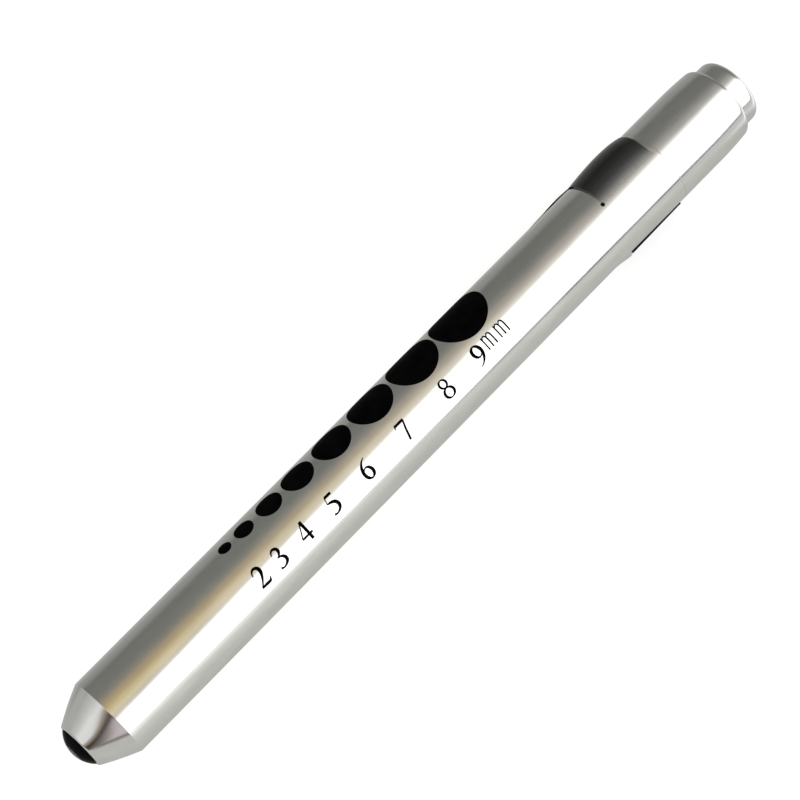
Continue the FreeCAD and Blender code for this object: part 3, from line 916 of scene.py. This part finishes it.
def floor_material():
    """Pale board, lit a little from below. Polished pieces see it darker, as past black cards."""
    shader = Shader("floor_board", Roughness=0.9, Emission_Color=(1.0, 1.0, 1.0, 1.0), Emission_Strength=0.76)
    grain = shader.noise(900, 4.0)
    cloud = shader.noise(6, 2.0)
    shader.drive("Base Color", shader.tint(
        shader.math("ADD", shader.math("MULTIPLY", grain, 0.4), shader.math("MULTIPLY", cloud, 0.6)),
        (0.3, (0.30, 0.30, 0.30)), (0.7, (0.325, 0.325, 0.32))))
    shader.bump(grain, 0.02, 0.0002)
    across, lengthways = shader.along((0.0, 1.0, 0.0)), shader.along((1.0, 0.0, 0.0))
    side = shader.remap(across, -FLOOR_REACH, FLOOR_REACH, 0.0, 1.0)
    beside = shader.tint(
        side, (0.17, (0.64, 0.64, 0.61)), (0.36, (0.58, 0.58, 0.55)), (0.45, (0.49, 0.49, 0.46)),
        (0.49, (0.45, 0.45, 0.42)), (0.53, (0.46, 0.46, 0.43)), (0.573, (0.31, 0.31, 0.29)),
        (0.635, (0.27, 0.27, 0.25)), (0.95, (0.18, 0.18, 0.17)))
    ahead = shader.tint(side, (0.45, (0.51, 0.51, 0.48)), (0.55, (0.41, 0.41, 0.39)))
    behind = shader.tint(
        side, (0.30, (0.60, 0.60, 0.58)), (0.42, (1.10, 1.10, 1.09)), (0.49, (1.10, 1.10, 1.09)),
        (0.56, (0.30, 0.30, 0.28)), (0.90, (0.20, 0.20, 0.19)))
    seen = shader.mix(shader.remap(lengthways, *PAST_NOSE, 1.0, 0.0), beside, ahead)
    seen = shader.mix(shader.remap(lengthways, *PAST_TAIL, 0.0, 1.0), seen, behind)
    mirrored = shader.node("Emission", {"Color": seen})
    path = shader.node("LightPath")
    shown = shader.node("MixShader", {
        0: path.outputs["Is Glossy Ray"], 1: shader.surface.outputs["BSDF"], 2: mirrored.outputs["Emission"]})
    output = shader.tree.nodes["Material Output"]
    shader.tree.links.new(shown.outputs["Shader"], output.inputs["Surface"])
    return shader.material


floor = build_floor()
floor.data.materials.append(floor_material())


# ---------------------------------------------------------------- camera
VIEW_ROUND = -9.0            # degrees from +Z towards +Y
VIEW_TILT = 13.67            # towards the nose
VIEW_DISTANCE = 369.5 * MM
VIEW_MIDDLE = 62.85          # station in the middle of the picture
VIEW_SHIFT = 2.12 * MM
CAMERA_LENS = 126
CAMERA_SENSOR = 36
CAMERA_NEAR = 0.01
PEN_ACROSS, PEN_UP = 0.7043, 0.7099      # how the pen lies in the picture

pen = Vector((1, 0, 0))
overhead = Vector((0, math.sin(math.radians(VIEW_ROUND)), math.cos(math.radians(VIEW_ROUND))))
tilt = math.radians(VIEW_TILT)
towards_camera = overhead * math.cos(tilt) - pen * math.sin(tilt)
pen_seen = (pen - towards_camera * pen.dot(towards_camera)).normalized()
beside_seen = pen_seen.cross(towards_camera)
right = pen_seen * PEN_ACROSS + beside_seen * PEN_UP
up = pen_seen * PEN_UP - beside_seen * PEN_ACROSS
target = at(VIEW_MIDDLE, 0, 0) - beside_seen * VIEW_SHIFT

lens_data = bpy.data.cameras.new("camera")
lens_data.lens = CAMERA_LENS
lens_data.sensor_width = CAMERA_SENSOR
lens_data.clip_start = CAMERA_NEAR
camera = bpy.data.objects.new("camera", lens_data)
bpy.context.scene.collection.objects.link(camera)
turn = Matrix((right, up, towards_camera)).transposed()
camera.matrix_world = Matrix.Translation(target + towards_camera * VIEW_DISTANCE) @ turn.to_4x4()
bpy.context.scene.camera = camera


# ---------------------------------------------------------------- light
TENT_WHITE = (1.14, 1.14, 1.14, 1)
CARD_WHITE = (1.6, 1.6, 1.6, 1)
CARD_BORDER = (0.20, 0.19, 0.205, 1)


def build_light_tent():
    """Soft light tent. The floor and plain materials see an even white tent. Polished pieces see its
    cards: one big bright card, a warm one beside it, grey elsewhere, and a darker wedge past the nose."""
    world = bpy.data.worlds.new("light_tent")
    bpy.context.scene.world = world
    world.use_nodes = True
    sky = Nodes(world.node_tree, "Generated")
    beside = Vector((0, -overhead.z, overhead.y))
    sideways, upwards = sky.along(beside), sky.along(overhead)
    round_pen = sky.math("DEGREES", sky.math("ARCTAN2", sideways, upwards))
    tailwards = sky.math("DEGREES", sky.math("ARCSINE", sky.along(pen)))

    def place(angle):
        return (angle + 180.0) / 360.0

    # what the straight wall of the pen reflects, round the pen from the +Y side over the top
    turned_place = sky.remap(round_pen, -180.0, 180.0, 0.0, 1.0)
    warm = sky.tint(
        turned_place,
        (place(-180), (0.20, 0.20, 0.19)), (place(-100), (0.165, 0.165, 0.15)),
        (place(-60), (0.185, 0.185, 0.17)), (place(-46), (0.23, 0.22, 0.18)),
        (place(-24), (0.46, 0.345, 0.165)),
        (place(-8), (0.66, 0.53, 0.27)), (place(0), (0.70, 0.61, 0.41)), (place(6), (0.56, 0.50, 0.40)),
        (place(66), (1.10, 1.09, 1.05)), (place(78), (0.80, 0.80, 0.76)), (place(90), (0.64, 0.64, 0.61)),
        (place(180), (0.40, 0.40, 0.38)))
    cool = sky.tint(
        turned_place,
        (place(-180), (0.20, 0.20, 0.19)), (place(-100), (0.15, 0.15, 0.14)),
        (place(-60), (0.17, 0.17, 0.155)), (place(-46), (0.22, 0.215, 0.20)),
        (place(-24), (0.44, 0.42, 0.39)),
        (place(-12), (0.70, 0.68, 0.64)), (place(66), (0.70, 0.68, 0.66)), (place(84), (0.63, 0.63, 0.60)),
        (place(110), (0.50, 0.50, 0.47)), (place(180), (0.40, 0.40, 0.38)))
    wall = sky.mix(sky.remap(tailwards, 4.0, 20.0, 0.0, 1.0), warm, cool)

    # the bright card; its near edge leans across the pen and its far edge has a dark border
    near_edge = sky.remap(tailwards, 5.0, 22.0, 17.0, -13.5)
    past_near = sky.math("MULTIPLY", sky.math("SUBTRACT", round_pen, near_edge),
                         sky.remap(tailwards, 14.0, 22.0, 1.0, 0.33))
    past_far = sky.math("SUBTRACT", round_pen, sky.remap(tailwards, 5.0, 15.0, 62.5, 69.5))
    lit = sky.math("MULTIPLY", sky.remap(past_near, -3.0, 3.0, 0.0, 1.0, True),
                   sky.remap(past_far, 0.0, 4.0, 1.0, 0.0, True))
    border = sky.math("MULTIPLY", sky.remap(past_far, 1.0, 3.0, 0.0, 1.0, True),
                      sky.remap(past_far, 7.0, 10.0, 1.0, 0.0, True))
    border = sky.math("MULTIPLY", border, sky.remap(tailwards, 13.0, 17.0, 0.0, 1.0))
    wall = sky.mix(border, wall, CARD_BORDER)
    wall = sky.mix(lit, wall, CARD_WHITE)

    # what the cone reflects: a light side, a dark wedge that widens towards the rim, a dim pinkish
    # field past it, and a dark line where that field ends
    past_wedge = sky.math("SUBTRACT", round_pen, sky.remap(tailwards, -51.5, -41.0, 25.0, -14.0))
    end_line = sky.math("ADD", sky.remap(tailwards, -49.5, -44.6, 54.0, 65.0),
                        sky.remap(tailwards, -44.6, -31.0, 0.0, 15.0))
    to_line = sky.math("SUBTRACT", end_line, round_pen)
    nose = sky.tint(
        turned_place,
        (place(-180), (0.30, 0.30, 0.28)), (place(-105), (0.38, 0.38, 0.36)),
        (place(-62), (0.56, 0.56, 0.54)),
        (place(-38), (0.76, 0.76, 0.75)), (place(10), (0.76, 0.76, 0.76)), (place(60), (0.62, 0.61, 0.60)))
    nose = sky.mix(sky.remap(past_wedge, -26.0, -5.0, 0.0, 1.0, True), nose, (0.27, 0.21, 0.165, 1))
    field = sky.mix(sky.remap(tailwards, -48.0, -38.0, 0.0, 1.0, True),
                    (0.13, 0.11, 0.10, 1), (0.57, 0.51, 0.52, 1))
    field = sky.mix(sky.remap(past_wedge, 12.0, 31.0, 0.0, 1.0, True),
                    (0.045, 0.034, 0.028, 1), field)
    nose = sky.mix(sky.remap(past_wedge, -4.0, 5.0, 0.0, 1.0, True), nose, field)
    nose = sky.mix(sky.remap(to_line, 9.0, 5.5, 0.0, 1.0), nose, (0.09, 0.08, 0.08, 1))
    nose = sky.mix(sky.remap(to_line, 2.5, -0.5, 0.0, 1.0), nose, (0.50, 0.50, 0.47, 1))
    painted = sky.mix(sky.remap(tailwards, -32.0, -14.0, 1.0, 0.0, True), wall, nose)

    path = sky.node("LightPath")
    shown = sky.mix(path.outputs["Is Glossy Ray"], TENT_WHITE, painted)
    world.node_tree.links.new(shown, world.node_tree.nodes["Background"].inputs["Color"])


build_light_tent()
bpy.context.scene.view_settings.view_transform = "Standard"
